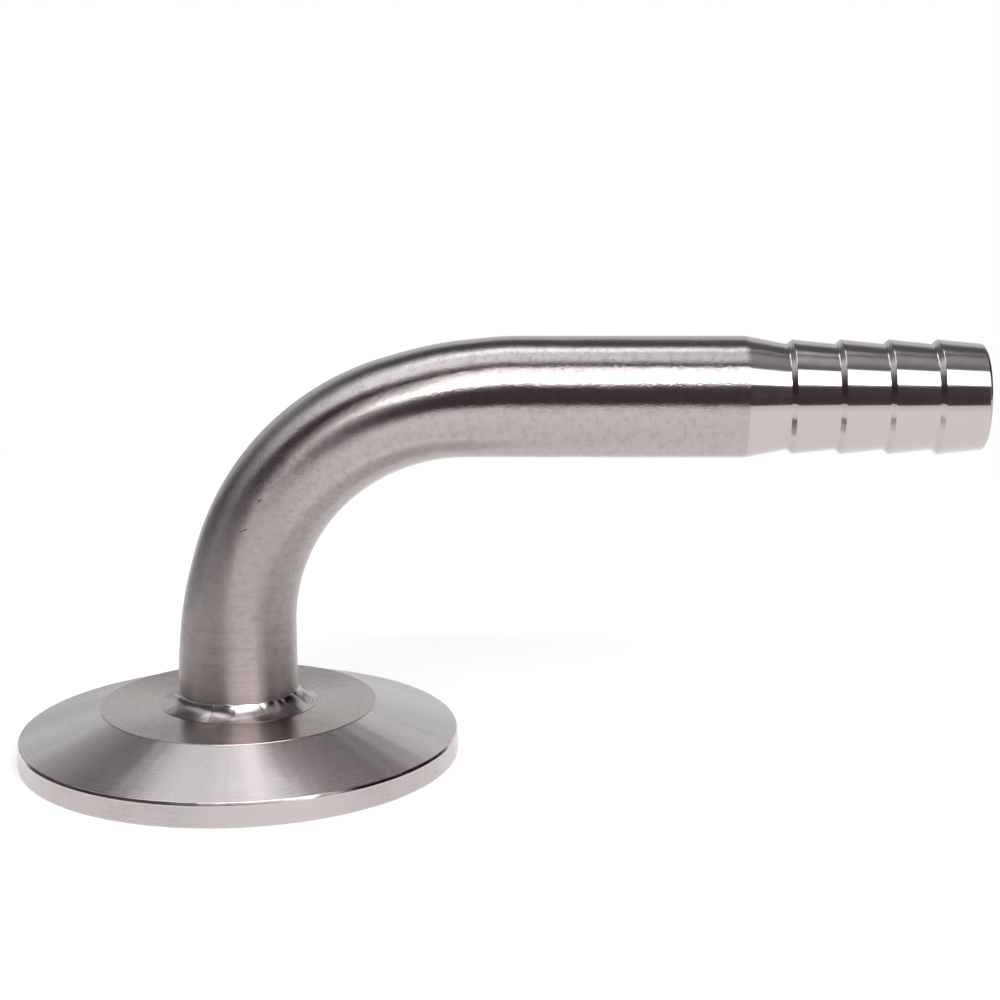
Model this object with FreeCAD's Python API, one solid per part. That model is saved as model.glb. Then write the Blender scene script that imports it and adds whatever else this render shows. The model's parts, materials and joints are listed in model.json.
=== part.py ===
import FreeCAD, Part
import math
import os

# Barbed sanitary clamp elbow: a turned clamp ferrule, a tube bent through a quarter turn with a
# hose barb cut on its free end, and the fillet weld that joins them. Millimetres. The gasket face
# lies on Z = 0, Z is the ferrule's axis, and the hose barb points along X.

# Clamp ferrule
FLANGE_DIA = 50.5
RIM_HEIGHT = 2.55
RIM_EDGE_WIDTH = 0.5
RIM_EDGE_HEIGHT = 0.2
FACE_EDGE_BREAK = 0.2
CONE_ANGLE = 20.0
LAND_DIA = 31.6
GROOVE_INSET = 3.5
GROOVE_RADIUS = 1.6
SOCKET_DEPTH = 3.0
SOCKET_CLEARANCE = 0.05

# Bent tube. LEG_LENGTH is from the land to the bend, and the tube stays round for ROUND_LEG of it.
# From there to FLATTENING_REACH inside the bend, the outer side is drawn in by FLATTENING.
TUBE_DIA = 13.6
BORE_DIA = 9.2
LEG_LENGTH = 9.2
ROUND_LEG = 3.2
BEND_RADIUS = 26.4
FLATTENING = 1.07
FLATTENING_REACH = 7.7
BEND_SPREAD = 0.4
RUN_LENGTH = 57.5

# Hose barb, with its sizes along the run counted back from the tip
BARB_COUNT = 4
BARB_PITCH = 5.36
BARB_PEAK_DIA = 12.8
BARB_ROOT_DIA = 11.8
BARB_STEP = 0.6
TAPER_LENGTH = 4.6
TAPER_ROUND = 4.0
TIP_LENGTH = 5.1
TIP_ROUND = 0.6
TIP_CHAMFER = 0.3

# Fillet weld
WELD_RISE = 1.8
WELD_WIDTH = 2.35
WELD_TOE = 0.15
WELD_HOLLOW = 0.2

# Sizes that follow from the ones above
flange_r = FLANGE_DIA / 2
land_r = LAND_DIA / 2
cone_top_r = flange_r - RIM_EDGE_WIDTH
cone_foot_z = RIM_HEIGHT + RIM_EDGE_HEIGHT
land_z = cone_foot_z + (cone_top_r - land_r) * math.tan(math.radians(CONE_ANGLE))
socket_z = land_z - SOCKET_DEPTH
tube_r = TUBE_DIA / 2
bore_r = BORE_DIA / 2
bend_start_z = land_z + LEG_LENGTH
run_z = bend_start_z + BEND_RADIUS
tip_x = BEND_RADIUS + RUN_LENGTH
flattening_lead = LEG_LENGTH - ROUND_LEG
bend_length = BEND_RADIUS * math.pi / 2
peak_r = BARB_PEAK_DIA / 2
root_r = BARB_ROOT_DIA / 2
tip_wall = root_r - bore_r
tip_round = min(TIP_ROUND, tip_wall / 2)
tip_chamfer = min(TIP_CHAMFER, tip_wall / 4)
last_peak_x = tip_x - TIP_LENGTH
first_peak_x = last_peak_x - (BARB_COUNT - 1) * BARB_PITCH

ORIGIN = FreeCAD.Vector(0, 0, 0)
X_AXIS = FreeCAD.Vector(1, 0, 0)
Y_AXIS = FreeCAD.Vector(0, 1, 0)
Z_AXIS = FreeCAD.Vector(0, 0, 1)

# The largest share of a side that one rounded corner may take
CORNER_SHARE = 0.45


def between(start, end, share):
    return start + (end - start) * share


# A closed face in the XZ plane. Each corner is (x, z) or (x, z, radius), and a radius is kept
# within its two sides.
def profile_face(corners):
    points = [FreeCAD.Vector(c[0], 0, c[1]) for c in corners]
    radii = [c[2] if len(c) > 2 else 0 for c in corners]
    count = len(points)
    arcs = []
    for i in range(count):
        arcs.append(corner_arc(points[i - 1], points[i], points[(i + 1) % count], radii[i]))
    edges = []
    for i, arc in enumerate(arcs):
        if len(arc) == 3:
            edges.append(Part.Arc(*arc).toShape())
        edges.append(Part.makeLine(arc[-1], arcs[(i + 1) % count][0]))
    return Part.Face(Part.Wire(edges))


# The corner itself when it is sharp, or the start, middle and end of the arc that rounds it.
def corner_arc(before, corner, after, radius):
    if radius == 0:
        return [corner]
    back = before - corner
    ahead = after - corner
    half_angle = back.getAngle(ahead) / 2
    shorter = min(back.Length, ahead.Length)
    setback = min(radius / math.tan(half_angle), CORNER_SHARE * shorter)
    back.normalize()
    ahead.normalize()
    start = corner + back * setback
    end = corner + ahead * setback
    true_radius = setback * math.tan(half_angle)
    reach = true_radius / math.sin(half_angle) - true_radius
    middle = corner + (back + ahead).normalize() * reach
    return [start, middle, end]


# The ferrule: gasket face with its groove, rim, clamp cone, flat land and tube socket.
def clamp_ferrule():
    socket_r = tube_r + SOCKET_CLEARANCE
    outline = [
        (bore_r, 0),
        (flange_r - FACE_EDGE_BREAK, 0),
        (flange_r, FACE_EDGE_BREAK),
        (flange_r, RIM_HEIGHT),
        (cone_top_r, cone_foot_z),
        (land_r, land_z),
        (socket_r, land_z),
        (socket_r, socket_z),
        (bore_r, socket_z),
    ]
    body = profile_face(outline).revolve(ORIGIN, Z_AXIS, 360)
    groove = Part.makeTorus(flange_r - GROOVE_INSET, GROOVE_RADIUS)
    return body.cut(groove)


def smooth_step(t):
    t = min(max(t, 0), 1)
    return t * t * (3 - 2 * t)


# How far the section at this length along the bend has passed from round to fully flattened. The
# change starts in the straight tube and ends inside the bend, alike at both ends.
def flattening_share(along):
    change_length = flattening_lead + FLATTENING_REACH
    rise = smooth_step((along + flattening_lead) / change_length)
    fall = smooth_step((bend_length - along + flattening_lead) / change_length)
    return rise * fall


# The tube's centre and its outward direction in the plane of the bend, at a length along the
# centre line counted from the start of the bend.
def bend_frame(along):
    angle = min(max(along / BEND_RADIUS, 0), math.pi / 2)
    outward = FreeCAD.Vector(-math.cos(angle), 0, math.sin(angle))
    centre = FreeCAD.Vector(BEND_RADIUS, 0, bend_start_z) + outward * BEND_RADIUS
    if along < 0:
        centre.z += along
    if along > bend_length:
        centre.x += along - bend_length
    return centre, outward


# The bent stretch as one smooth solid. The inner side follows the bending die, while the outer
# side is drawn in and the section spreads a little across the bend.
def bend_solid(radius):
    steps = 32
    sections = []
    for i in range(steps + 1):
        along = between(-flattening_lead, bend_length + flattening_lead, i / steps)
        centre, outward = bend_frame(along)
        share = flattening_share(along)
        shift = FLATTENING / 2 * share
        section = Part.Wire(Part.Ellipse(ORIGIN, radius + BEND_SPREAD * share, radius - shift).toShape())
        turn = FreeCAD.Rotation(Y_AXIS, outward, Y_AXIS.cross(outward))
        section.Placement = FreeCAD.Placement(centre - outward * shift, turn)
        sections.append(section)
    return Part.makeLoft(sections, True)


def leg_solid(radius, foot_z):
    height = land_z + ROUND_LEG - foot_z
    return Part.makeCylinder(radius, height, FreeCAD.Vector(0, 0, foot_z))


# The straight run with its taper, barbs and rounded tip, turned about its own axis. Radii stand
# for heights above the axis.
def run_solid():
    start_x = BEND_RADIUS + flattening_lead
    taper_end_x = first_peak_x - BARB_STEP
    outline = [(start_x, 0), (start_x, tube_r), (taper_end_x - TAPER_LENGTH, tube_r, TAPER_ROUND)]
    for i in range(BARB_COUNT):
        peak_x = first_peak_x + i * BARB_PITCH
        outline.append((peak_x - BARB_STEP, root_r))
        outline.append((peak_x, peak_r))
    outline.append((tip_x, root_r, tip_round))
    outline.append((tip_x, 0))
    turned = profile_face(outline).revolve(ORIGIN, X_AXIS, 360)
    turned.translate(FreeCAD.Vector(0, 0, run_z))
    return turned


# The hollow that runs through the whole tube, flared a little at the tip.
def bore_solid():
    start = FreeCAD.Vector(BEND_RADIUS + flattening_lead, 0, run_z)
    straight = Part.makeCylinder(bore_r, tip_x - start.x, start, X_AXIS)
    flare_start = FreeCAD.Vector(tip_x - tip_chamfer, 0, run_z)
    flare = Part.makeCone(bore_r, bore_r + tip_chamfer, tip_chamfer, flare_start, X_AXIS)
    return leg_solid(bore_r, socket_z).fuse([bend_solid(bore_r), straight, flare])


def barbed_elbow_tube():
    outside = leg_solid(tube_r, socket_z).fuse([bend_solid(tube_r), run_solid()])
    return outside.cut(bore_solid())


# The weld: a slightly hollow fillet between the tube and the land, with a low square toe.
def weld_bead():
    top = FreeCAD.Vector(tube_r, 0, land_z + WELD_RISE)
    toe = FreeCAD.Vector(tube_r + WELD_WIDTH, 0, land_z + WELD_TOE)
    foot = FreeCAD.Vector(toe.x, 0, land_z)
    heel = FreeCAD.Vector(tube_r, 0, land_z)
    slope = toe - top
    inward = FreeCAD.Vector(slope.z, 0, -slope.x).normalize()
    middle = between(top, toe, 0.5) + inward * WELD_HOLLOW
    face = Part.Face(Part.Wire([
        Part.Arc(top, middle, toe).toShape(),
        Part.makeLine(toe, foot),
        Part.makeLine(foot, heel),
        Part.makeLine(heel, top),
    ]))
    return face.revolve(ORIGIN, Z_AXIS, 360)


os.makedirs("parts", exist_ok=True)
for make in (clamp_ferrule, barbed_elbow_tube, weld_bead):
    name = make.__name__
    shape = make()
    shape.exportStep("parts/" + name + ".step")
    print(name, "solids", len(shape.Solids), "valid", shape.isValid(), "volume", round(shape.Volume, 2))
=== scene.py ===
import json
import math

import bpy
import numpy as np
from mathutils import Matrix, Vector


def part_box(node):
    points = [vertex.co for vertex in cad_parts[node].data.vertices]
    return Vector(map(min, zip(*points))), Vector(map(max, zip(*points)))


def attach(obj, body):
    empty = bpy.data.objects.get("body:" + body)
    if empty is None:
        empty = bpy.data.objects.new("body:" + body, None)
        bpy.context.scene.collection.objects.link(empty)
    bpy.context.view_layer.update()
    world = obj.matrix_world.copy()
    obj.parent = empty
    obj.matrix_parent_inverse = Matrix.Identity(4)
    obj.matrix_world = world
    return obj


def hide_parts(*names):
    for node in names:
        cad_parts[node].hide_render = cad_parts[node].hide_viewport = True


# Barbed sanitary clamp elbow in stainless steel: a turned clamp ferrule, a bent tube with a hose barb, and
# the weld between them. Metres. The gasket face lies on Z = 0 and the hose barb points along X.
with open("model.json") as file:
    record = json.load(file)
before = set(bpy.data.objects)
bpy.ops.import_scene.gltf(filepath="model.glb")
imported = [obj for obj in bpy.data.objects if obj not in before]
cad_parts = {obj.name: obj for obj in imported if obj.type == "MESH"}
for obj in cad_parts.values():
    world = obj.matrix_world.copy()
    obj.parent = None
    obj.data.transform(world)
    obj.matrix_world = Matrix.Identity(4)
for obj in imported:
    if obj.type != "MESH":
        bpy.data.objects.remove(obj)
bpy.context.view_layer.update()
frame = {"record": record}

MM = 0.001

# Places taken from the frame
mounts = {mount["name"]: mount for mount in frame["record"]["mounts"]}
FLANGE_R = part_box("clamp_ferrule")[1].x
LAND_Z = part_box("clamp_ferrule")[1].z
TIP_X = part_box("barbed_elbow_tube")[1].x
RUN_Z = mounts["barb_bore"]["pos_m"][2]
BORE_R = mounts["ferrule_bore"]["dims"]["r_mm"] * MM

# Clamp ferrule
LAND_R = 15.8 * MM
LAND_LIP = 0.07 * MM
LAND_LIP_SLOPE = 0.6
LAND_LIP_FOOT_ROUND = 0.03 * MM
LAND_LIP_TOP_ROUND = 0.06 * MM
RIM_HEIGHT = 2.5 * MM
CONE_FOOT_R = FLANGE_R - 0.15 * MM
CONE_FOOT_Z = 2.83 * MM
CONE_FOOT_ROUND = 0.14 * MM
FACE_EDGE = 0.2 * MM
BORE_EDGE = 0.1 * MM
GROOVE_R = FLANGE_R - 3.5 * MM
GROOVE_RADIUS = 1.6 * MM
GROOVE_SIDES = 12
SOCKET_R = 6.85 * MM
SOCKET_Z = LAND_Z - 3.0 * MM

# Bent tube
TUBE_R = 6.8 * MM
BEND_RADIUS = 26.4 * MM
BEND_START_Z = RUN_Z - BEND_RADIUS
BEND_LENGTH = BEND_RADIUS * math.pi / 2
FLATTENING = 1.07 * MM
FLATTENING_LEAD = 6.0 * MM
FLATTENING_REACH = 7.7 * MM
BEND_SPREAD = 0.4 * MM
LEG_FOOT = SOCKET_Z - BEND_START_Z
TIP = BEND_LENGTH + TIP_X - BEND_RADIUS

# Hose barb
BARB_COUNT = 4
BARB_PITCH = 5.36 * MM
BARB_PEAK_R = 6.4 * MM
BARB_ROOT_R = 5.9 * MM
BARB_STEP = 0.6 * MM
BARB_EDGE = 0.14 * MM
BARB_FILLET = 0.2 * MM
TAPER_LENGTH = 4.6 * MM
TAPER_ROUND = 4.0 * MM
TIP_LENGTH = 5.1 * MM
TIP_ROUND = 0.45 * MM
TIP_CHAMFER = 0.3 * MM
LAST_PEAK = TIP - TIP_LENGTH
FIRST_PEAK = LAST_PEAK - (BARB_COUNT - 1) * BARB_PITCH
TAPER_END = FIRST_PEAK - BARB_STEP

# Mesh fineness
TUBE_SEGMENTS = 160
FLANGE_SEGMENTS = 256
ARC_STEP = math.radians(9)
TUBE_SPACING = 0.45 * MM
FLANGE_SPACING = 1.5 * MM
SMALL_ROUND = 0.05 * MM
PROBE = 0.001 * MM
TINY = 1e-9


def unit(vectors):
    return vectors / np.linalg.norm(vectors, axis=-1, keepdims=True)


def turned(vector, angle):
    c, s = math.cos(angle), math.sin(angle)
    return np.array([c * vector[0] - s * vector[1], s * vector[0] + c * vector[1]])


# A closed outline through corners (a, b, radius), with each corner rounded. It gives points and the
# direction of travel at each point.
def outline(corners, spacing):
    places = [np.array(corner[:2]) for corner in corners]
    points, directions = [], []
    for i, corner in enumerate(corners):
        ahead = unit(places[(i + 1) % len(corners)] - places[i])
        behind = unit(places[i] - places[i - 1])
        turn = math.atan2(behind[0] * ahead[1] - behind[1] * ahead[0], behind @ ahead)
        radius = corner[2]
        side = math.copysign(1, turn)
        start = places[i] - behind * radius * math.tan(abs(turn) / 2)
        centre = start + side * radius * turned(behind, math.pi / 2)
        steps = max(2, math.ceil(abs(turn) / ARC_STEP))
        for k in range(steps + 1):
            travel = turned(behind, turn * k / steps)
            points.append(centre - side * radius * turned(travel, math.pi / 2))
            directions.append(travel)
    return filled(np.array(points), np.array(directions), spacing)


# Adds points along straight stretches that are longer than the spacing.
def filled(points, directions, spacing):
    all_points, all_directions = [], []
    for i in range(len(points)):
        gap = points[(i + 1) % len(points)] - points[i]
        count = max(1, math.ceil(np.linalg.norm(gap) / spacing))
        for k in range(count):
            all_points.append(points[i] + gap * k / count)
            all_directions.append(directions[i])
    return np.array(all_points), np.array(all_directions)


# A ring-shaped mesh from a closed outline and a surface(a, b, angle). Its normals are exact, so that
# small edge rounds don't bend the reflections of the faces beside them.
def ring_mesh(name, points, directions, surface, segments):
    a, b = points[:, 0:1], points[:, 1:2]
    angle = np.linspace(0, 2 * math.pi, segments, endpoint=False)[None, :]
    places = surface(a, b, angle)
    along_a = surface(a + PROBE, b, angle) - surface(a - PROBE, b, angle)
    along_b = surface(a, b + PROBE, angle) - surface(a, b - PROBE, angle)
    along = directions[:, 0, None, None] * along_a + directions[:, 1, None, None] * along_b
    around = surface(a, b, angle + PROBE) - surface(a, b, angle - PROBE)
    normals = unit(np.cross(around, along))
    rings = len(points)
    index = np.arange(rings * segments).reshape(rings, segments)
    after = np.roll(index, -1, axis=0)
    quads = np.stack([index, np.roll(index, -1, axis=1), np.roll(after, -1, axis=1), after], axis=-1)
    piece = mesh_piece(name, places.reshape(-1, 3), quads.reshape(-1, 4))
    piece.data.normals_split_custom_set_from_vertices(normals.reshape(-1, 3).tolist())
    keep_vectors(piece, "lengthwise", unit(along))
    return piece


def keep_vectors(piece, name, vectors):
    attribute = piece.data.attributes.new(name, "FLOAT_VECTOR", "POINT")
    attribute.data.foreach_set("vector", vectors.astype(np.float32).ravel())


def mesh_piece(name, places, faces):
    mesh = bpy.data.meshes.new(name)
    mesh.from_pydata(places.tolist(), [], faces.tolist())
    mesh.shade_smooth()
    piece = bpy.data.objects.new(name, mesh)
    bpy.context.scene.collection.objects.link(piece)
    return piece


# Turns (radius, height) about Z.
def lathe(radius, height, angle):
    return np.stack([radius * np.cos(angle), radius * np.sin(angle), height + 0 * angle], axis=-1)


def smooth_step(t):
    t = np.clip(t, 0, 1)
    return t * t * (3 - 2 * t)


# How flattened the bend is at a length counted from its start.
def flattening_share(along):
    change = FLATTENING_LEAD + FLATTENING_REACH
    rise = smooth_step((along + FLATTENING_LEAD) / change)
    fall = smooth_step((BEND_LENGTH - along + FLATTENING_LEAD) / change)
    return rise * fall


# The tube's surface at a length along it, counted from the start of the bend, for a radius and an
# angle counted from the outer side of the bend.
def tube_surface(along, radius, angle):
    turn = np.clip(along / BEND_RADIUS, 0, math.pi / 2)
    share = flattening_share(along)
    shift = FLATTENING / 2 * share
    out = (radius - shift) * np.cos(angle) - shift
    across = (radius + BEND_SPREAD * share) * np.sin(angle)
    reach = BEND_RADIUS + out
    before = np.minimum(along, 0)
    beyond = np.maximum(along - BEND_LENGTH, 0)
    x = BEND_RADIUS - reach * np.cos(turn) + beyond
    z = BEND_START_Z + reach * np.sin(turn) + before
    return np.stack([x, -across + 0 * z, z], axis=-1)


# Clamp ferrule: gasket face with its groove, rim, cone, land with a fine edge, and socket.
def make_ferrule():
    corners = [
        (BORE_R, 0, BORE_EDGE),
        (GROOVE_R - GROOVE_RADIUS, 0, SMALL_ROUND),
    ]
    for k in range(1, GROOVE_SIDES):
        turn = math.pi * (1 - k / GROOVE_SIDES)
        across, depth = GROOVE_RADIUS * math.cos(turn), GROOVE_RADIUS * math.sin(turn)
        corners.append((GROOVE_R + across, depth, SMALL_ROUND))
    corners += [
        (GROOVE_R + GROOVE_RADIUS, 0, SMALL_ROUND),
        (FLANGE_R - FACE_EDGE, 0, SMALL_ROUND),
        (FLANGE_R, FACE_EDGE, SMALL_ROUND),
        (FLANGE_R, RIM_HEIGHT, SMALL_ROUND),
        (CONE_FOOT_R, CONE_FOOT_Z, CONE_FOOT_ROUND),
        (LAND_R, LAND_Z - LAND_LIP, LAND_LIP_FOOT_ROUND),
        (LAND_R - LAND_LIP_SLOPE * LAND_LIP, LAND_Z, LAND_LIP_TOP_ROUND),
        (SOCKET_R, LAND_Z, SMALL_ROUND),
        (SOCKET_R, SOCKET_Z, SMALL_ROUND),
        (BORE_R, SOCKET_Z, SMALL_ROUND),
    ]
    points, directions = outline(corners, FLANGE_SPACING)
    return ring_mesh("ferrule", points, directions, lathe, FLANGE_SEGMENTS)


# Elbow tube: leg, flattened bend and run, with the taper, barbs and rounded tip, and the bore inside.
def make_tube():
    corners = [
        (LEG_FOOT, TUBE_R, SMALL_ROUND),
        (TAPER_END - TAPER_LENGTH, TUBE_R, TAPER_ROUND),
    ]
    for i in range(BARB_COUNT):
        peak = FIRST_PEAK + i * BARB_PITCH
        corners.append((peak - BARB_STEP, BARB_ROOT_R, BARB_FILLET))
        corners.append((peak, BARB_PEAK_R, BARB_EDGE))
    corners += [
        (TIP, BARB_ROOT_R, TIP_ROUND),
        (TIP, BORE_R + TIP_CHAMFER, SMALL_ROUND),
        (TIP - TIP_CHAMFER, BORE_R, SMALL_ROUND),
        (LEG_FOOT, BORE_R, SMALL_ROUND),
    ]
    points, directions = outline(corners, TUBE_SPACING)
    piece = ring_mesh("elbow_tube", points, directions, tube_surface, TUBE_SEGMENTS)
    angle = np.linspace(0, 2 * math.pi, TUBE_SEGMENTS, endpoint=False)[None, :]
    along, radius = points[:, 0:1], points[:, 1:2]
    straight = np.stack([along + 0 * angle, radius * np.cos(angle), radius * np.sin(angle)], axis=-1)
    keep_vectors(piece, "straight", straight / MM)
    return piece


# Weld bead: a fillet that follows the tube down and turns out to a low toe. It is dressed smooth on
# one side. On the other it is a row of overlapping puddles with raised upper edges, and it ends in
# an open crater.
WELD_SEGMENTS = 900
WELD_STEPS = 44
WELD_STEP_GROWTH = 1.3
WELD_SHARP_ANGLE = math.radians(50)
WELD_SINK = 0.03 * MM
WELD_RISE = 1.56 * MM
WELD_WIDTH = 1.95 * MM
WELD_WIDER = 0.25 * MM
WELD_TOE = 0.04 * MM
WELD_PUDDLES = 16
WELD_RIPPLE = 0.012 * MM
WELD_SCALLOP = 0.12 * MM
WELD_SCALLOP_SPREAD = 0.3
WELD_LIP = 0.04 * MM
WELD_LIP_RISE = 0.03
WELD_LIP_FALL = 0.12
WELD_MIDDLE_R = 7.9 * MM
PUDDLE_START = math.radians(-106)
PUDDLE_END = math.radians(50)
PUDDLE_FADE_IN = math.radians(24)
PUDDLE_FADE_OUT = math.radians(60)
PUDDLE_FADED = 0.7
PUDDLE_BOW = 0.6
CRATER_ANGLE = math.radians(-4)
CRATER_SHARE = 0.52
CRATER_RADIUS = 1.3 * MM
CRATER_DEPTH = 0.05 * MM
CRATER_DISH_SHARE = 0.5
CRATER_RING_PITCH = 0.3
CRATER_RING_HEIGHT = 0.45
CRATER_SLOPE_SHARE = 0.8
CRATER_STAIN_PITCH = 0.42

# How the hand-made bead varies around the tube: a size, a count of waves and where they start.
RISE_WAVES = ((0.04 * MM, 3, 0.6), (0.03 * MM, 7, 2.0))
WIDTH_WAVES = ((0.04 * MM, 9, 0.0),)
DRIFT_WAVES = ((0.07, 3, 1.1), (0.04, 5, 0.0))

# The two middle control points of the profile's curve, as shares of the bead's width and height:
# on the dressed side, and on the side of the puddles.
DRESSED_CURVE = ((0.0, 0.45), (0.3, 0.3))
PUDDLED_CURVE = ((0.2, 0.66), (0.45, 0.25))


def unevenness(waves, angle):
    return sum(size * np.sin(count * angle + start) for size, count, start in waves)


# How much the puddles show: fully between their first and their last, and faintly after that, up to
# the smooth stretch just before the first.
def puddle_share(angle):
    turn = (angle - PUDDLE_START) % (2 * math.pi)
    past = turn - (PUDDLE_END - PUDDLE_START)
    return smooth_step(turn / PUDDLE_FADE_IN) * (1 - PUDDLE_FADED * smooth_step(past / PUDDLE_FADE_OUT))


def puddle_phase(t, angle):
    turn = angle - PUDDLE_START + unevenness(DRIFT_WAVES, angle)
    return turn * WELD_PUDDLES / (2 * math.pi) + PUDDLE_BOW * (t - 0.5) ** 2


# The bead's radius and height at t, from 0 at the tube to 1 at the toe, and at an angle about Z.
def weld_profile(t, angle):
    share = puddle_share(angle)
    scallop = WELD_SCALLOP * share * np.abs(np.sin(math.pi * puddle_phase(t, angle)))
    rise = WELD_RISE + unevenness(RISE_WAVES, angle) + scallop
    width = WELD_WIDTH + WELD_WIDER * np.cos(2 * angle) + unevenness(WIDTH_WAVES, angle)
    width = width + WELD_SCALLOP_SPREAD * scallop
    first, second = np.array(DRESSED_CURVE), np.array(PUDDLED_CURVE)
    curve = first[:, :, None, None] + (second - first)[:, :, None, None] * share
    near, far = 3 * (1 - t) ** 2 * t, 3 * (1 - t) * t ** 2
    out = near * curve[0, 0] + far * curve[1, 0] + t ** 3
    up = (1 - t) ** 3 + near * curve[0, 1] + far * curve[1, 1]
    lip = WELD_LIP * share * smooth_step(t / WELD_LIP_RISE) * np.exp(-t / WELD_LIP_FALL)
    ripple = WELD_RIPPLE * share * np.cos(2 * math.pi * puddle_phase(t, angle)) * np.sin(math.pi * t)
    lift = lip + ripple + crater_lift(t, angle)
    slope = t * math.pi / 2
    radius = TUBE_R + width * out + lift * np.cos(slope)
    height = LAND_Z + WELD_TOE + rise * up + lift * np.sin(slope)
    return radius, height


# A shallow dish with frozen rings around it, where the arc was drawn away.
def crater_lift(t, angle):
    around = (angle + math.pi) % (2 * math.pi) - math.pi - CRATER_ANGLE
    down = (t - CRATER_SHARE) * (WELD_RISE + WELD_WIDTH) * CRATER_SLOPE_SHARE
    away = np.hypot(around * WELD_MIDDLE_R, down) / CRATER_RADIUS
    dish = -np.exp(-(away / CRATER_DISH_SHARE) ** 2)
    rings = CRATER_RING_HEIGHT * np.cos(2 * math.pi * away / CRATER_RING_PITCH) * np.exp(-away ** 4)
    return CRATER_DEPTH * (dish + rings)


def make_weld():
    t = (np.linspace(0, 1, WELD_STEPS) ** WELD_STEP_GROWTH)[:, None]
    angle = np.linspace(0, 2 * math.pi, WELD_SEGMENTS, endpoint=False)[None, :]
    radius, height = weld_profile(t, angle)
    foot = radius[-1:]
    low = LAND_Z - WELD_SINK + 0 * angle
    inner = TUBE_R - WELD_SINK + 0 * angle
    radius = np.concatenate([np.maximum(radius, inner), foot, inner, inner])
    height = np.concatenate([height, low, low, height[:1]])
    places = lathe(radius, height, angle)
    rings, segments = radius.shape
    index = np.arange(rings * segments).reshape(rings, segments)
    after = np.roll(index, -1, axis=0)
    quads = np.stack([index, after, np.roll(after, -1, axis=1), np.roll(index, -1, axis=1)], axis=-1)
    piece = mesh_piece("weld_ring", places.reshape(-1, 3), quads.reshape(-1, 4))
    piece.data.set_sharp_from_angle(angle=WELD_SHARP_ANGLE)
    keep_vectors(piece, "lengthwise", unit(np.roll(places, -1, axis=0) - places + TINY))
    puddled = np.broadcast_to(puddle_share(angle), (rings, segments))
    attribute = piece.data.attributes.new("puddled", "FLOAT", "POINT")
    attribute.data.foreach_set("value", puddled.astype(np.float32).ravel())
    return piece


# A node tree, with short calls for the nodes used here.
class Nodes:
    def __init__(self, owner):
        owner.use_nodes = True
        self.owner = owner
        self.nodes = owner.node_tree.nodes
        self.links = owner.node_tree.links

    def node(self, kind, inputs=None, **settings):
        made = self.nodes.new("ShaderNode" + kind)
        for key, value in settings.items():
            setattr(made, key, value)
        for key, value in (inputs or {}).items():
            self.give(made.inputs[key], value)
        return made

    def give(self, socket, value):
        if isinstance(value, bpy.types.NodeSocket):
            self.links.new(value, socket)
        else:
            socket.default_value = value

    # Sets inputs of the surface's shader by name, with _ for a space.
    def surface(self, **inputs):
        for name, value in inputs.items():
            self.give(self.nodes["Principled BSDF"].inputs[name.replace("_", " ")], value)

    def attribute(self, name):
        return self.node("Attribute", attribute_name=name).outputs["Vector"]

    def math(self, operation, a, b=0.0, clamp=False):
        return self.node("Math", {0: a, 1: b}, operation=operation, use_clamp=clamp).outputs[0]

    def vector(self, operation, a, b=(0, 0, 0), result=0):
        return self.node("VectorMath", {0: a, 1: b}, operation=operation).outputs[result]

    def sum(self, *values):
        total = values[0]
        for value in values[1:]:
            total = self.math("ADD", total, value)
        return total

    def noise(self, place, scale, detail=2.0, roughness=0.5):
        spread = self.vector("MULTIPLY", place, scale)
        inputs = {"Vector": spread, "Scale": 1.0, "Detail": detail, "Roughness": roughness}
        return self.node("TexNoise", inputs).outputs["Fac"]

    def ramp(self, value, start, end, low=0.0, high=1.0):
        inputs = {"Value": value, "From Min": start, "From Max": end, "To Min": low, "To Max": high}
        return self.node("MapRange", inputs, interpolation_type="SMOOTHSTEP").outputs[0]

    def bump(self, height, distance, normal=None):
        inputs = {"Height": height, "Distance": distance, "Strength": 1.0}
        if normal is not None:
            inputs["Normal"] = normal
        return self.node("Bump", inputs).outputs[0]

    # Mixes two colours, which are the node's inputs 6 and 7.
    def mix(self, share, a, b):
        made = self.node("Mix", data_type="RGBA")
        for i, value in ((0, share), (6, a), (7, b)):
            self.give(made.inputs[i], value)
        return made.outputs[2]

    # 1 on the line between two places, and 0 from the given distance away.
    def mark(self, place, start, end, width):
        way = Vector(end) - Vector(start)
        offset = self.vector("SUBTRACT", place, tuple(start))
        share = self.vector("DOT_PRODUCT", offset, tuple(way / way.length_squared), "Value")
        share = self.math("MULTIPLY", share, 1.0, True)
        nearest = self.node("VectorMath", {0: tuple(way), "Scale": share}, operation="SCALE").outputs[0]
        return self.ramp(self.vector("DISTANCE", offset, nearest, "Value"), 0.0, width, 1.0, 0.0)


# Colours of the bare metal, of its stains, and of painted shade
TURNED_STEEL = (0.600, 0.542, 0.545, 1.0)
POLISHED_STEEL = (0.490, 0.443, 0.437, 1.0)
SATIN_STEEL = (0.430, 0.385, 0.380, 1.0)
# A darker copy of the turned steel, as painted shade on the land
SHADED_LAND_STEEL = (0.500, 0.422, 0.402, 1.0)
# Darker steel for wear and grain, also used as painted shade on the rim's outer face
WORN_AND_SHADED_STEEL = (0.330, 0.293, 0.288, 1.0)
# Near black: the stain rings about the weld's crater, and painted shade in the nicks and scratches
STAIN_AND_SHADE = (0.050, 0.040, 0.040, 1.0)
HEAT_TINT = (0.390, 0.340, 0.335, 1.0)

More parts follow.
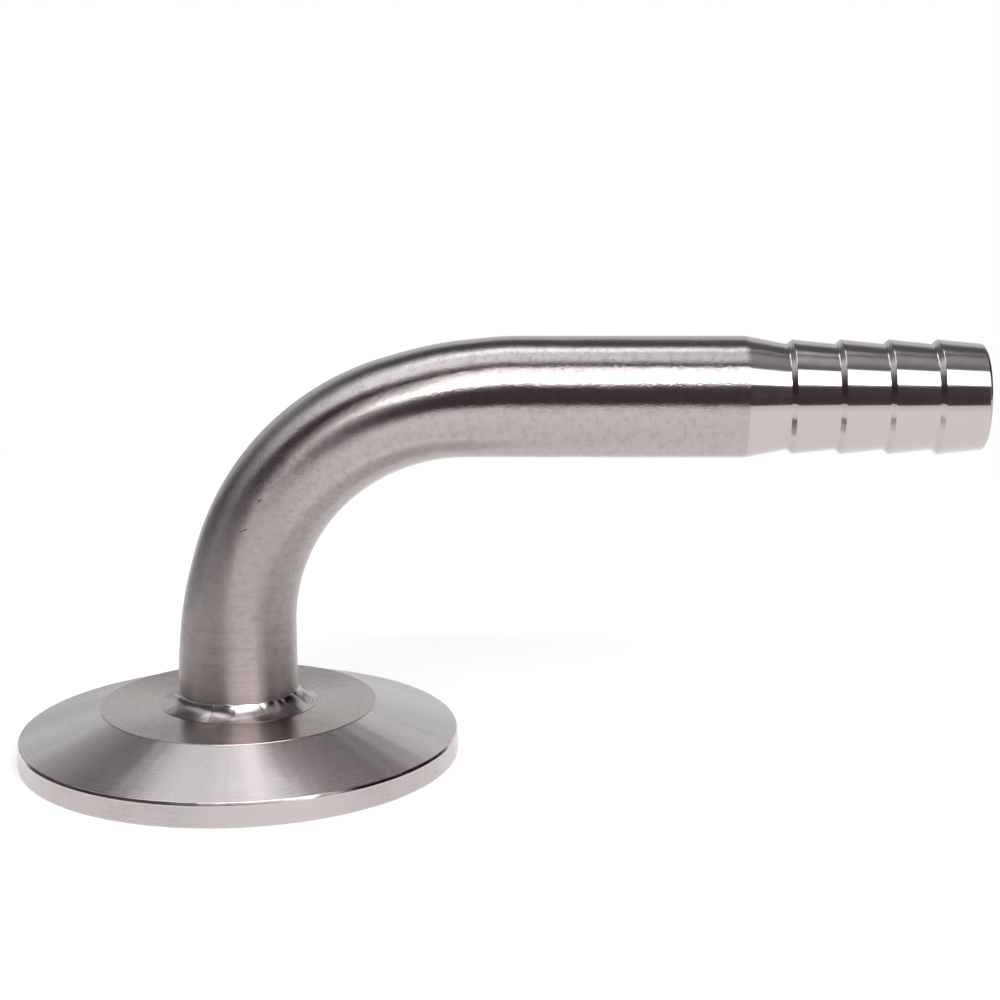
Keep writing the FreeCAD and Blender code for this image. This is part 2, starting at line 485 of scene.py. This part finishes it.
# Depths of the fine texture, which is bump
TUBE_WAVE_DEPTH = 0.04 * MM
TUBE_GRAIN_DEPTH = 0.010 * MM
TUBE_SPECK_DEPTH = 0.007 * MM
BARB_LATHE_DEPTH = 0.004 * MM
FERRULE_LATHE_DEPTH = 0.003 * MM
CONE_FAN_DEPTH = 0.08 * MM
LAND_SPECKLE_DEPTH = 0.006 * MM
WELD_PATCH_DEPTH = 0.06 * MM
WELD_GRAIN_DEPTH = 0.006 * MM
NICK_DEPTH = 0.05 * MM

# Roughness of each piece, and what a finish adds to it
TUBE_ROUGH = 0.205
SATIN_ADDS = 0.125
SPECKS_ADD = 0.05
BARB_ADDS = -0.05
FERRULE_ROUGH = 0.25
LAND_ADDS = -0.03
RIM_EDGE_ADDS = -0.14
WELD_ROUGH = 0.17
DRESSED_ADDS = (0.06, 0.12)

# Where the tube's finish fades out, in millimetres along it from the start of the bend
SATIN_SPAN = (-8.0, 36.0)
BRUSHED_SPAN = (-3.0, 12.0)


# A place on the tube's outside in millimetres: length along it, then radius along and across the
# plane of the bend, for an angle in degrees from the outer side.
def on_tube(along, angle):
    turn = math.radians(angle)
    return (along, TUBE_R / MM * math.cos(turn), TUBE_R / MM * math.sin(turn))


# Small marks, each with its two ends and its width, in millimetres: nicks on the bend, and a nick and two
# fine scratches on the ferrule. Each is a shallow dent, painted near black as painted shade in it.
BEND_MARKS = (
    (on_tube(12.2, 73.0), on_tube(12.9, 78.5), 0.09),
    (on_tube(16.2, 73.6), on_tube(16.4, 74.6), 0.14),
)
FERRULE_MARKS = (
    ((-9.6, -22.88, 2.74), (-9.2, -23.05, 2.74), 0.16),
    ((-2.25, -22.2, 3.62), (-2.0, -22.0, 3.68), 0.05),
    ((-2.0, -22.4, 3.55), (-1.75, -22.65, 3.46), 0.05),
)


# Brushed leg, satin bend and run with a fine grain, and a barb that is turned and polished.
def tube_steel():
    s = Nodes(bpy.data.materials.new("brushed_tube"))
    place = s.attribute("straight")
    along = s.node("SeparateXYZ", {0: place}).outputs["X"]
    turned_start = (TAPER_END - TAPER_LENGTH) / MM
    barb = s.ramp(along, turned_start - 0.1, turned_start + 0.1)
    plain = s.math("SUBTRACT", 1.0, barb)
    satin = s.ramp(along, *SATIN_SPAN, 1.0, 0.0)
    leg = s.ramp(along, *BRUSHED_SPAN, 1.0, 0.0)
    grainy = s.math("SUBTRACT", plain, leg, True)

    waves = s.noise(place, (0.22, 0.30, 0.30), 1.0)
    brushing = s.noise(place, (2.4, 0.10, 0.10), 2.0, 0.6)
    grain = s.noise(place, (5.4, 5.4, 5.4), 2.0, 0.5)
    specks = s.noise(place, (2.6, 3.6, 3.6), 2.0, 0.5)
    lathe_marks = s.noise(place, (7.0, 0.06, 0.06), 2.0, 0.6)
    smudges = s.noise(place, (0.55, 0.75, 0.75), 3.0, 0.6)
    mottle = s.noise(place, (1.4, 0.9, 0.9), 4.0, 0.65)
    marks = s.sum(*[s.mark(place, *mark) for mark in BEND_MARKS])

    normal = s.bump(waves, s.math("MULTIPLY", plain, TUBE_WAVE_DEPTH))
    normal = s.bump(grain, s.math("MULTIPLY", grainy, TUBE_GRAIN_DEPTH), normal)
    normal = s.bump(specks, s.math("MULTIPLY", grainy, TUBE_SPECK_DEPTH), normal)
    normal = s.bump(lathe_marks, s.math("MULTIPLY", barb, BARB_LATHE_DEPTH), normal)
    normal = s.bump(s.math("MULTIPLY", marks, -1.0), NICK_DEPTH, normal)

    rough = s.sum(TUBE_ROUGH, s.math("MULTIPLY", satin, SATIN_ADDS), s.math("MULTIPLY", barb, BARB_ADDS),
                  s.math("MULTIPLY", s.math("MULTIPLY", grainy, SPECKS_ADD), specks),
                  s.ramp(smudges, 0.35, 0.75, -0.01, 0.03))
    brushed = s.math("MULTIPLY", leg, s.ramp(brushing, 0.40, 0.70, 0.0, 0.40))
    color = s.mix(s.ramp(mottle, 0.44, 0.74, 0.0, 0.75), SATIN_STEEL, WORN_AND_SHADED_STEEL)
    color = s.mix(s.math("MULTIPLY", grainy, s.ramp(grain, 0.5, 0.8, 0.0, 0.4)), color, WORN_AND_SHADED_STEEL)
    color = s.mix(barb, color, POLISHED_STEEL)
    color = s.mix(brushed, color, WORN_AND_SHADED_STEEL)
    # The nicks are painted near black: painted shade in them.
    color = s.mix(marks, color, STAIN_AND_SHADE)
    s.surface(Base_Color=color, Metallic=1.0, Roughness=rough, Anisotropic=1.0, Normal=normal,
              Tangent=s.attribute("lengthwise"))
    return s.owner


# Turned ferrule: lathe marks all over, a finer finish on the land, and faint fans across the cone. The land
# and the rim's outer face are darkened as painted shade.
def turned_steel():
    s = Nodes(bpy.data.materials.new("turned_ferrule"))
    place = s.vector("MULTIPLY", s.node("TexCoord").outputs["Object"], (1 / MM, 1 / MM, 1 / MM))
    height = s.node("SeparateXYZ", {0: place}).outputs["Z"]
    flat = s.vector("MULTIPLY", place, (1, 1, 0))
    radius = s.vector("LENGTH", flat, result="Value")
    around = s.vector("NORMALIZE", flat)
    land = s.ramp(height, LAND_Z / MM - 0.12, LAND_Z / MM - 0.04)
    profile = s.node("CombineXYZ", {0: radius, 1: height}).outputs[0]
    profile = s.vector("ADD", profile, s.vector("MULTIPLY", around, (0.0, 0.0, 0.15)))

    rim = s.ramp(radius, FLANGE_R / MM - 0.05, FLANGE_R / MM - 0.02)
    edge = s.math("MULTIPLY", s.ramp(height, RIM_HEIGHT / MM - 0.2, RIM_HEIGHT / MM),
                  s.ramp(radius, FLANGE_R / MM - 0.3, FLANGE_R / MM - 0.2))
    rings = s.noise(profile, (4.0, 4.0, 1.0), 2.0, 0.6)
    scuffs = s.noise(place, (1.6, 1.6, 1.0), 4.0, 0.7)
    profile_by_turn = s.vector("ADD", profile, s.vector("MULTIPLY", around, (40, 40, 0)))
    broken = s.noise(profile_by_turn, (2.5, 2.5, 1.0), 3.0, 0.6)
    fans = s.noise(around, (5.0, 5.0, 5.0), 1.0, 0.5)
    streaks = s.noise(around, (22.0, 22.0, 22.0), 2.0, 0.6)
    speckle = s.noise(place, (2.4, 2.4, 2.4), 2.0, 0.6)
    smudges = s.noise(place, (0.35, 0.35, 0.35), 3.0, 0.6)
    marks = s.sum(*[s.mark(place, *mark) for mark in FERRULE_MARKS])

    cone = s.math("SUBTRACT", 1.0, land)
    normal = s.bump(fans, s.math("MULTIPLY", cone, CONE_FAN_DEPTH))
    normal = s.bump(rings, FERRULE_LATHE_DEPTH, normal)
    normal = s.bump(speckle, s.math("MULTIPLY", land, LAND_SPECKLE_DEPTH), normal)
    normal = s.bump(s.math("MULTIPLY", marks, -1.0), NICK_DEPTH, normal)

    rough = s.sum(FERRULE_ROUGH, s.math("MULTIPLY", land, LAND_ADDS),
                  s.math("MULTIPLY", edge, RIM_EDGE_ADDS), s.ramp(rings, 0.3, 0.7, -0.02, 0.02),
                  s.ramp(smudges, 0.35, 0.75, -0.01, 0.025))
    # The land takes the darker copy of the steel: painted shade.
    color = s.mix(land, TURNED_STEEL, SHADED_LAND_STEEL)
    color = s.mix(s.math("MULTIPLY", cone, s.ramp(broken, 0.5, 0.85, 0.0, 0.22)), color, WORN_AND_SHADED_STEEL)
    color = s.mix(s.math("MULTIPLY", cone, s.ramp(streaks, 0.55, 0.8, 0.0, 0.25)), color, WORN_AND_SHADED_STEEL)
    color = s.mix(s.math("MULTIPLY", land, s.ramp(scuffs, 0.40, 0.75, 0.0, 0.5)), color, WORN_AND_SHADED_STEEL)
    # The rim's outer face is darkened a little: painted shade.
    color = s.mix(s.math("MULTIPLY", rim, 0.18), color, WORN_AND_SHADED_STEEL)
    # The nick and the scratches are painted near black: painted shade in them.
    color = s.mix(marks, color, STAIN_AND_SHADE)
    s.surface(Base_Color=color, Metallic=1.0, Roughness=rough, Anisotropic=1.0, Normal=normal,
              Tangent=s.attribute("lengthwise"))
    return s.owner


# Weld metal: bright in the puddles and brushed like the tube where it is dressed, with a fine grain,
# a faint heat tint and dark rings around the crater.
def weld_steel():
    s = Nodes(bpy.data.materials.new("weld_metal"))
    place = s.vector("MULTIPLY", s.node("TexCoord").outputs["Object"], (1 / MM, 1 / MM, 1 / MM))
    height = s.node("SeparateXYZ", {0: place}).outputs["Z"]
    puddled = s.node("Attribute", attribute_name="puddled").outputs["Fac"]
    dressed = s.math("SUBTRACT", 1.0, puddled)
    upper = s.ramp(height, LAND_Z / MM + 0.3, LAND_Z / MM + 1.3)
    grain = s.noise(place, (3.0, 3.0, 3.0), 3.0, 0.6)
    patches = s.noise(place, (0.5, 0.5, 0.5), 2.0, 0.5)
    normal = s.bump(patches, WELD_PATCH_DEPTH)
    normal = s.bump(grain, WELD_GRAIN_DEPTH, normal)
    color = s.mix(s.ramp(patches, 0.4, 0.7), POLISHED_STEEL, HEAT_TINT)
    color = s.mix(s.math("MULTIPLY", dressed, s.ramp(upper, 0.0, 1.0, 0.5, 1.0)), color, SATIN_STEEL)
    crater = lathe(WELD_MIDDLE_R, LAND_Z + WELD_RISE * (1 - CRATER_SHARE), CRATER_ANGLE) / MM
    away = s.vector("DISTANCE", place, tuple(crater), "Value")
    waves = s.math("SINE", s.math("MULTIPLY", away, 2 * math.pi / CRATER_STAIN_PITCH))
    rings = s.math("MULTIPLY", s.ramp(waves, 0.2, 0.9), s.ramp(away, 0.9, 1.4, 0.6, 0.0))
    color = s.mix(rings, color, STAIN_AND_SHADE)
    rough = s.sum(WELD_ROUGH, s.math("MULTIPLY", dressed, s.ramp(upper, 0.0, 1.0, *DRESSED_ADDS)),
                  s.ramp(patches, 0.3, 0.7, -0.02, 0.02))
    s.surface(Base_Color=color, Metallic=1.0, Roughness=rough, Anisotropic=0.8, Normal=normal,
              Tangent=s.attribute("lengthwise"))
    return s.owner


# The camera stands where the photograph's outlines place it. Its angles are in degrees, and its lens
# and sensor in millimetres.
CAMERA_TARGET = Vector((30.209, 0, 29.811)) * MM
CAMERA_DISTANCE = 230.133 * MM
CAMERA_AZIMUTH = 1.251
CAMERA_ELEVATION = 11.751
CAMERA_ROLL = -0.153
CAMERA_LENS = 73.346
CAMERA_SENSOR = 36.0
CAMERA_NEAR = 10 * MM
CAMERA_FAR = 20.0


# A direction from an azimuth, counted from the front towards +X, and an elevation, both in degrees.
def direction(azimuth, elevation):
    a, e = math.radians(azimuth), math.radians(elevation)
    return Vector((math.sin(a) * math.cos(e), -math.cos(a) * math.cos(e), math.sin(e)))


def make_camera():
    back = direction(CAMERA_AZIMUTH, CAMERA_ELEVATION)
    right = (-back).cross(Vector((0, 0, 1))).normalized()
    up = right.cross(-back)
    turn = Matrix.Rotation(math.radians(CAMERA_ROLL), 3, back)
    axes = Matrix((turn @ right, turn @ up, back)).transposed()
    data = bpy.data.cameras.new("camera")
    data.lens = CAMERA_LENS
    data.sensor_width = CAMERA_SENSOR
    data.clip_start = CAMERA_NEAR
    data.clip_end = CAMERA_FAR
    camera = bpy.data.objects.new("camera", data)
    camera.matrix_world = Matrix.Translation(CAMERA_TARGET + back * CAMERA_DISTANCE) @ axes.to_4x4()
    bpy.context.scene.collection.objects.link(camera)
    bpy.context.scene.camera = camera


# The studio
STUDIO_CENTRE = Vector((30, 0, 30)) * MM
LAMP_DISTANCE = 1.0
DOME_RADIUS = 1.3
DOME_SPANS = ((-180, 180), (-2, 90))
SCREEN_STEP = 3
SKIRT_RADIUS = 0.3
SKIRT_SPANS = ((-135, 52), (-7, 8))
SKIRT_GLOW = np.array((0.075, 0.055, 0.062))
FLOOR_HALF = 3.0
FLOOR_GAP = 0.02 * MM
FLOOR_COLOR = 0.85
FLOOR_GLOW = 0.38
FLOOR_FADE = (0.10, 0.22)
WORLD_LIGHT = 0.5
WINDOW_COLOR = np.array((0.93, 1.0, 1.01))
SHADE_COLOR = np.array((0.020, 0.0, 0.010))

# What mirror rays see of the studio: white surroundings, with these soft-edged panels painted over
# them in turn. Each has a span of azimuth, a span of elevation and the widths of its soft edges, in
# degrees, and then its brightness, from black to a bright window.
PANELS = {
    "left_wall": ((-170, -60), (-20, 50), (10, 10), 0.0),
    "left_window": ((-135, -70), (30, 55), (15, 15), 0.9),
    "left_corner": ((-80, -33), (30, 60), (8, 14), 0.0),
    "high_left_window": ((-160, -70), (55, 75), (20, 10), 2.2),
    "front_ceiling": ((-65, 65), (55, 75), (15, 5), 0.12),
    "right_wall": ((60, 145), (-20, 80), (20, 10), 0.0),
    "right_ceiling": ((50, 125), (45, 80), (20, 10), 0.35),
    "rear_right_wall": ((120, 200), (35, 70), (20, 15), 0.14),
    "rear_left_wall": ((-185, -115), (35, 55), (20, 15), 0.1),
    "rear_window": ((150, 212), (67, 80), (18, 10), 3.7),
    "rear_floor": ((145, 230), (2, 30), (40, 20), 0.75),
    "front_wall": ((-70, 50), (-20, 31), (15, 6), 0.07),
    "ceiling_window": ((-200, 200), (78, 110), (20, 8), 1.8),
}

# The lamps above the front: azimuth and elevation in degrees, width, height, glow, and how far each is
# slid sideways.
LAMPS = {
    "key_lamp": (0, 41, 1.16, 0.22, 6.5, 0.57),
    "high_key_lamp": (0, 57, 0.90, 0.32, 3.5, 0.33),
    "left_key_lamp": (-10, 40, 0.22, 0.20, 5.5, 0.0),
}


def soft_span(value, span, edge):
    return smooth_step((value - span[0]) / edge + 0.5) * smooth_step((span[1] - value) / edge + 0.5)


def studio_glow(azimuth, elevation):
    glow = np.ones((len(azimuth), 3))
    for azimuths, elevations, edges, brightness in PANELS.values():
        turns = [soft_span(azimuth + turn, azimuths, edges[0]) for turn in (-360, 0, 360)]
        share = (np.maximum.reduce(turns) * soft_span(elevation, elevations, edges[1]))[:, None]
        glow = glow * (1 - share) + (brightness * WINDOW_COLOR + SHADE_COLOR) * share
    return glow


def skirt_glow(azimuth, elevation):
    return np.zeros((len(azimuth), 3)) + SKIRT_GLOW


# Plain white to the camera and to mirror rays, and a dimmer light to the rest.
def make_world():
    world = bpy.data.worlds.new("studio")
    bpy.context.scene.world = world
    s = Nodes(world)
    path = s.node("LightPath").outputs
    seen = s.math("MAXIMUM", path["Is Camera Ray"], path["Is Glossy Ray"])
    seen = s.math("MAXIMUM", seen, path["Is Transmission Ray"])
    background = s.nodes["Background"]
    background.inputs["Color"].default_value = (1, 1, 1, 1)
    strength = s.math("ADD", WORLD_LIGHT, s.math("MULTIPLY", seen, 1 - WORLD_LIGHT))
    s.give(background.inputs["Strength"], strength)


# A pale floor that takes the part's shadow, and turns plain white away from it. It lies a hair below
# the gasket face, so that the two surfaces don't fall together.
def make_floor():
    corners = np.array([(-1, -1, 0), (1, -1, 0), (1, 1, 0), (-1, 1, 0)])
    places = corners * FLOOR_HALF - (0, 0, FLOOR_GAP)
    floor = mesh_piece("floor", places, np.array([(0, 1, 2, 3)]))
    s = Nodes(bpy.data.materials.new("floor"))
    offset = s.vector("SUBTRACT", s.node("TexCoord").outputs["Object"], tuple(STUDIO_CENTRE))
    away = s.vector("LENGTH", offset, result="Value")
    s.surface(Base_Color=s.ramp(away, *FLOOR_FADE, FLOOR_COLOR, 0.0), Roughness=1.0, Specular_IOR_Level=0.0,
              Emission_Color=(1, 1, 1, 1), Emission_Strength=s.ramp(away, *FLOOR_FADE, FLOOR_GLOW, 1.0))
    floor.data.materials.append(s.owner)


# A flat soft lamp with level sides, turned towards the part and then slid sideways. Its glow is the
# brightness of its face.
def make_lamp(name, azimuth, elevation, width, height, glow, slide):
    data = bpy.data.lights.new(name, "AREA")
    data.shape = "RECTANGLE"
    data.size, data.size_y = width, height
    data.energy = glow * math.pi * width * height
    lamp = bpy.data.objects.new(name, data)
    ahead = direction(azimuth, elevation)
    lamp.location = STUDIO_CENTRE + ahead * LAMP_DISTANCE + direction(azimuth + 90, 0) * slide
    lamp.rotation_euler = ahead.to_track_quat("Z", "Y").to_euler()
    lamp.visible_camera = False
    bpy.context.scene.collection.objects.link(lamp)


# A curved screen around the part, seen only by mirror rays. Its glow is a function of direction.
def make_screen(name, radius, azimuths, elevations, glow):
    columns = math.ceil((azimuths[1] - azimuths[0]) / SCREEN_STEP)
    rows = math.ceil((elevations[1] - elevations[0]) / SCREEN_STEP)
    azimuth = np.repeat(np.linspace(*azimuths, columns + 1), rows + 1)
    elevation = np.tile(np.linspace(*elevations, rows + 1), columns + 1)
    places = np.array([STUDIO_CENTRE + direction(a, e) * radius for a, e in zip(azimuth, elevation)])
    corner = (np.arange(columns)[:, None] * (rows + 1) + np.arange(rows)[None, :]).ravel()
    faces = np.stack([corner, corner + 1, corner + rows + 2, corner + rows + 1], axis=1)
    screen = mesh_piece(name, places, faces)
    keep_vectors(screen, "glow", glow(azimuth, elevation))
    s = Nodes(bpy.data.materials.new(name))
    s.surface(Base_Color=(0, 0, 0, 1), Specular_IOR_Level=0.0, Emission_Color=s.attribute("glow"),
              Emission_Strength=1.0)
    screen.data.materials.append(s.owner)
    screen.visible_camera = screen.visible_diffuse = screen.visible_shadow = False


def make_studio():
    make_world()
    make_floor()
    for name, settings in LAMPS.items():
        make_lamp(name, *settings)
    make_screen("surroundings", DOME_RADIUS, *DOME_SPANS, studio_glow)
    make_screen("front_skirt", SKIRT_RADIUS, *SKIRT_SPANS, skirt_glow)


def dress(piece, node, material):
    piece.data.materials.append(material)
    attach(piece, "root")
    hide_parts(node)


dress(make_ferrule(), "clamp_ferrule", turned_steel())
dress(make_tube(), "barbed_elbow_tube", tube_steel())
dress(make_weld(), "weld_bead", weld_steel())
make_camera()
make_studio()
bpy.context.scene.view_settings.view_transform = "Standard"
